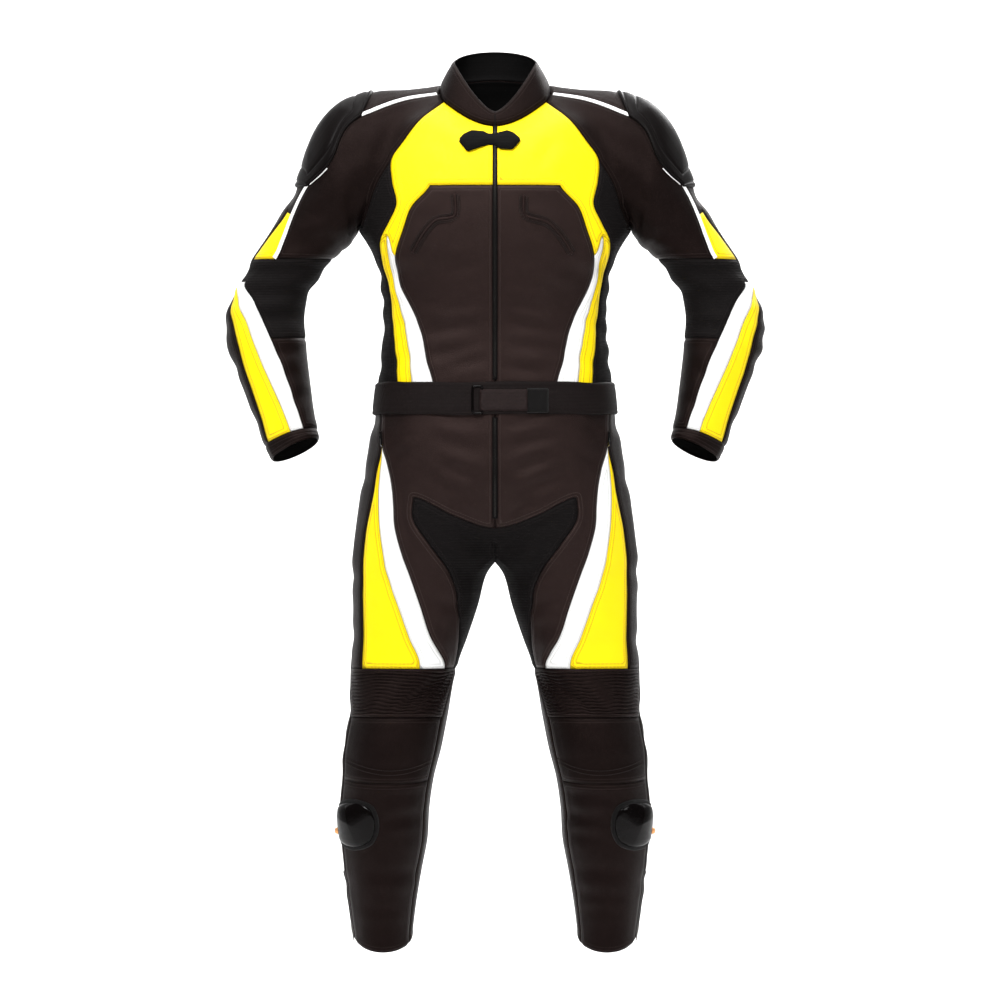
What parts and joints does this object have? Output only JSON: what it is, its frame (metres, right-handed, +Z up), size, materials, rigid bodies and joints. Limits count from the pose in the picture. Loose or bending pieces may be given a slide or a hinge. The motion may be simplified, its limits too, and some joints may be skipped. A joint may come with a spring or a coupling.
{
  "type": "motorcycle race suit",
  "caption": "Worn two-piece leather race suit, hollow, with open neck, cuffs and hems, colour panels, hard shoulder cups and knee sliders, waist belt and zips.",
  "frame": {"origin": "middle of the neck opening's base, between the shoulders, where the wearer holds the suit up", "axes": "+Z up, the front faces -Y, +X towards the wearer's left"},
  "size_m": [0.8658, 0.2541, 1.4477],
  "materials": {
    "black_leather": "satin",
    "yellow_leather": "satin",
    "white_leather": "satin",
    "stretch_cloth": "matte",
    "belt_webbing": "matte",
    "zip_tape": "matte",
    "hard_plastic": "gloss",
    "metal": "satin"
  },
  "bodies": {
    "suit": {"chest_left": "yellow_leather", "back": "black_leather", "side_stretch_left": "stretch_cloth", "front_body_left": "black_leather", "side_white_left": "white_leather", "side_yellow_left": "yellow_leather", "sleeve_back_left": "black_leather", "sleeve_front_left": "black_leather", "upper_arm_yellow_left": "yellow_leather", "elbow_stretch_left": "stretch_cloth", "forearm_white_left": "white_leather", "forearm_yellow_left": "yellow_leather", "forearm_front_left": "black_leather", "cuff_left": "black_leather", "thigh_front_left": "black_leather", "leg_back_left": "black_leather", "seat": "black_leather", "thigh_white_left": "white_leather", "thigh_yellow_left": "yellow_leather", "crotch_stretch": "stretch_cloth", "knee_accordion_left": "stretch_cloth", "knee_left": "black_leather", "shin_left": "black_leather", "chest_right": "yellow_leather", "side_stretch_right": "stretch_cloth", "front_body_right": "black_leather", "side_white_right": "white_leather", "side_yellow_right": "yellow_leather", "sleeve_back_right": "black_leather", "sleeve_front_right": "black_leather", "upper_arm_yellow_right": "yellow_leather", "elbow_stretch_right": "stretch_cloth", "forearm_white_right": "white_leather", "forearm_yellow_right": "yellow_leather", "forearm_front_right": "black_leather", "cuff_right": "black_leather", "thigh_front_right": "black_leather", "leg_back_right": "black_leather", "thigh_white_right": "white_leather", "thigh_yellow_right": "yellow_leather", "knee_accordion_right": "stretch_cloth", "knee_right": "black_leather", "shin_right": "black_leather", "collar": "black_leather", "waist_belt": "belt_webbing", "belt_strap": "belt_webbing", "belt_loop": "hard_plastic", "front_zip": "zip_tape", "fly_zip": "zip_tape", "collar_tab": "black_leather", "shoulder_cup_left": "hard_plastic", "knee_slider_left": "hard_plastic", "piping_left": "white_leather", "shoulder_cup_right": "hard_plastic", "knee_slider_right": "hard_plastic", "piping_right": "white_leather", "ankle_zip_left": "metal", "ankle_zip_right": "metal"},
    "pull_left": {"ankle_pull_left": "metal"},
    "pull_right": {"ankle_pull_right": "metal"}
  },
  "joints": [
    {"name": "ankle_pull_left_hinge", "type": "hinge", "parent": "suit", "child": "pull_left", "pos_m": [0.22962, 0.03228, -1.33217], "axis": [0, -1, 0], "range_deg": [0, 120]},
    {"name": "ankle_pull_right_hinge", "type": "hinge", "parent": "suit", "child": "pull_right", "pos_m": [-0.22962, 0.03228, -1.33217], "axis": [0, 1, 0], "range_deg": [0, 120]}
  ]
}
